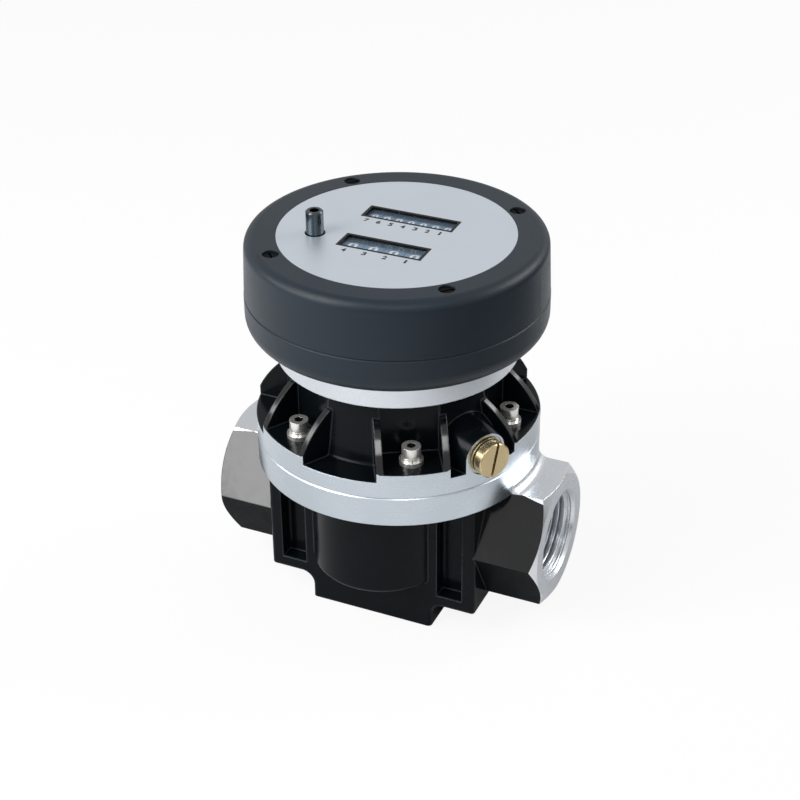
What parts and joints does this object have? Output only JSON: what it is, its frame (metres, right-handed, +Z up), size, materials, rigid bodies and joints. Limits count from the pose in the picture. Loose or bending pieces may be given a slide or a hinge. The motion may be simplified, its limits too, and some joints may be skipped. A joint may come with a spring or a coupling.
{
  "type": "oval gear flow meter",
  "caption": "Flow meter with a flanged cast body, hexagonal threaded ports and a ribbed cover, under a round register with counter windows and a push rod that clears the batch count.",
  "frame": {"origin": "middle of the foot's flat bottom face", "axes": "+X along the ports towards the right one seen from the front, +Z up through the register, -Y is the front that the counters are read from"},
  "size_m": [0.133, 0.1126, 0.1607],
  "materials": {
    "black_enamel": "gloss black enamel on cast aluminium, machined faces bare",
    "stainless": "bright turned stainless steel",
    "brass": "turned brass, satin",
    "seal_rubber": "black nitrile rubber",
    "rotor_plastic": "dark filled engineering plastic",
    "bush_bronze": "plain bearing bronze",
    "magnet": "dark sintered magnet",
    "plated_steel": "zinc plated steel",
    "housing_plastic": "charcoal moulded plastic, fine texture",
    "dial_aluminium": "satin silver dial plate",
    "clear_lens": "clear polished lens",
    "gear_plastic": "natural white gear plastic",
    "number_wheel": "slate blue moulded plastic",
    "frame_plastic": "black moulded plastic",
    "dark_chrome": "dark nickel plate"
  },
  "bodies": {
    "housing": {"meter_body": "black_enamel", "meter_cover": "black_enamel", "cover_seal": "seal_rubber", "cover_screws": "stainless", "plain_washers": "stainless", "spring_washers": "stainless", "vent_plug": "brass", "vent_plug_washer": "brass", "vent_plug_seal": "seal_rubber", "rotor_shaft_a": "stainless", "rotor_shaft_b": "stainless", "spindle_bush": "brass", "register_base": "housing_plastic", "base_screws": "plated_steel", "register_bezel": "housing_plastic", "bezel_screws": "plated_steel", "dial_plate": "dial_aluminium", "total_window": "clear_lens", "reset_window": "clear_lens", "total_window_frame": "frame_plastic", "reset_window_frame": "frame_plastic", "counter_frame": "plated_steel", "frame_screws": "plated_steel", "total_spindle": "plated_steel", "reset_spindle": "plated_steel", "idler_pin": "plated_steel", "reset_guide": "plated_steel", "reset_spring": "plated_steel"},
    "front_rotor": {"oval_gear_a": "rotor_plastic", "rotor_bush_a": "bush_bronze", "drive_magnets": "magnet"},
    "rear_rotor": {"oval_gear_b": "rotor_plastic", "rotor_bush_b": "bush_bronze"},
    "follower": {"follower_disc": "gear_plastic", "follower_magnets": "magnet", "drive_spindle": "plated_steel"},
    "cross_drive": {"cross_shaft": "plated_steel", "worm_wheel": "gear_plastic", "cross_gear": "gear_plastic"},
    "idler": {"idler_gear": "gear_plastic"},
    "total_units": {"total_wheel_1": "number_wheel", "total_gear": "gear_plastic"},
    "reset_units": {"reset_wheel_1": "number_wheel", "reset_gear": "gear_plastic"},
    "total_place_2": {"total_wheel_2": "number_wheel"},
    "total_place_3": {"total_wheel_3": "number_wheel"},
    "total_place_4": {"total_wheel_4": "number_wheel"},
    "total_place_5": {"total_wheel_5": "number_wheel"},
    "total_place_6": {"total_wheel_6": "number_wheel"},
    "total_place_7": {"total_wheel_7": "number_wheel"},
    "reset_place_2": {"reset_wheel_2": "number_wheel"},
    "reset_place_3": {"reset_wheel_3": "number_wheel"},
    "reset_place_4": {"reset_wheel_4": "number_wheel"},
    "push_rod": {"reset_button": "dark_chrome"}
  },
  "joints": [
    {"name": "front_rotor_spin", "type": "hinge", "parent": "housing", "child": "front_rotor", "pos_m": [0, -0.0155, 0.05], "axis": [0, 0, 1], "continuous": true},
    {"name": "rear_rotor_spin", "type": "hinge", "parent": "housing", "child": "rear_rotor", "pos_m": [0, 0.0155, 0.05], "axis": [0, 0, 1], "continuous": true},
    {"name": "follower_spin", "type": "hinge", "parent": "housing", "child": "follower", "pos_m": [0, -0.0155, 0.09], "axis": [0, 0, 1], "continuous": true},
    {"name": "cross_shaft_spin", "type": "hinge", "parent": "housing", "child": "cross_drive", "pos_m": [0, -0.0085, 0.1265], "axis": [1, 0, 0], "continuous": true},
    {"name": "idler_spin", "type": "hinge", "parent": "housing", "child": "idler", "pos_m": [0.0186, -0.00017, 0.13668], "axis": [1, 0, 0], "continuous": true},
    {"name": "total_wheel_1_spin", "type": "hinge", "parent": "housing", "child": "total_units", "pos_m": [0.0148, 0.01225, 0.141], "axis": [1, 0, 0], "continuous": true},
    {"name": "total_wheel_2_spin", "type": "hinge", "parent": "housing", "child": "total_place_2", "pos_m": [0.00995, 0.01225, 0.141], "axis": [1, 0, 0], "continuous": true},
    {"name": "total_wheel_3_spin", "type": "hinge", "parent": "housing", "child": "total_place_3", "pos_m": [0.0051, 0.01225, 0.141], "axis": [1, 0, 0], "continuous": true},
    {"name": "total_wheel_4_spin", "type": "hinge", "parent": "housing", "child": "total_place_4", "pos_m": [0.00025, 0.01225, 0.141], "axis": [1, 0, 0], "continuous": true},
    {"name": "total_wheel_5_spin", "type": "hinge", "parent": "housing", "child": "total_place_5", "pos_m": [-0.0046, 0.01225, 0.141], "axis": [1, 0, 0], "continuous": true},
    {"name": "total_wheel_6_spin", "type": "hinge", "parent": "housing", "child": "total_place_6", "pos_m": [-0.00945, 0.01225, 0.141], "axis": [1, 0, 0], "continuous": true},
    {"name": "total_wheel_7_spin", "type": "hinge", "parent": "housing", "child": "total_place_7", "pos_m": [-0.0143, 0.01225, 0.141], "axis": [1, 0, 0], "continuous": true},
    {"name": "reset_wheel_1_spin", "type": "hinge", "parent": "housing", "child": "reset_units", "pos_m": [0.01245, -0.0126, 0.141], "axis": [1, 0, 0], "continuous": true},
    {"name": "reset_wheel_2_spin", "type": "hinge", "parent": "housing", "child": "reset_place_2", "pos_m": [0.00445, -0.0126, 0.141], "axis": [1, 0, 0], "continuous": true},
    {"name": "reset_wheel_3_spin", "type": "hinge", "parent": "housing", "child": "reset_place_3", "pos_m": [-0.00355, -0.0126, 0.141], "axis": [1, 0, 0], "continuous": true},
    {"name": "reset_wheel_4_spin", "type": "hinge", "parent": "housing", "child": "reset_place_4", "pos_m": [-0.01155, -0.0126, 0.141], "axis": [1, 0, 0], "continuous": true},
    {"name": "reset_press", "type": "slide", "parent": "housing", "child": "push_rod", "axis": [0, 0, -1], "range_m": [0, 0.004], "stiffness_N_per_m": 500, "springref_m": -0.003, "deforming": ["reset_spring"]}
  ],
  "couplings": [
    {"joint": "rear_rotor_spin", "follows": "front_rotor_spin", "ratio": -1},
    {"joint": "follower_spin", "follows": "front_rotor_spin", "ratio": 1},
    {"joint": "cross_shaft_spin", "follows": "front_rotor_spin", "ratio": 0.05},
    {"joint": "idler_spin", "follows": "front_rotor_spin", "ratio": -0.0375},
    {"joint": "total_wheel_1_spin", "follows": "front_rotor_spin", "ratio": 0.05},
    {"joint": "total_wheel_2_spin", "follows": "front_rotor_spin", "ratio": 0.005},
    {"joint": "total_wheel_3_spin", "follows": "front_rotor_spin", "ratio": 0.0005},
    {"joint": "total_wheel_4_spin", "follows": "front_rotor_spin", "ratio": 0.00005},
    {"joint": "total_wheel_5_spin", "follows": "front_rotor_spin", "ratio": 0.000005},
    {"joint": "total_wheel_6_spin", "follows": "front_rotor_spin", "ratio": 0.0000005},
    {"joint": "total_wheel_7_spin", "follows": "front_rotor_spin", "ratio": 0.00000005},
    {"joint": "reset_wheel_1_spin", "follows": "front_rotor_spin", "ratio": 0.05},
    {"joint": "reset_wheel_2_spin", "follows": "front_rotor_spin", "ratio": 0.005},
    {"joint": "reset_wheel_3_spin", "follows": "front_rotor_spin", "ratio": 0.0005},
    {"joint": "reset_wheel_4_spin", "follows": "front_rotor_spin", "ratio": 0.00005}
  ]
}
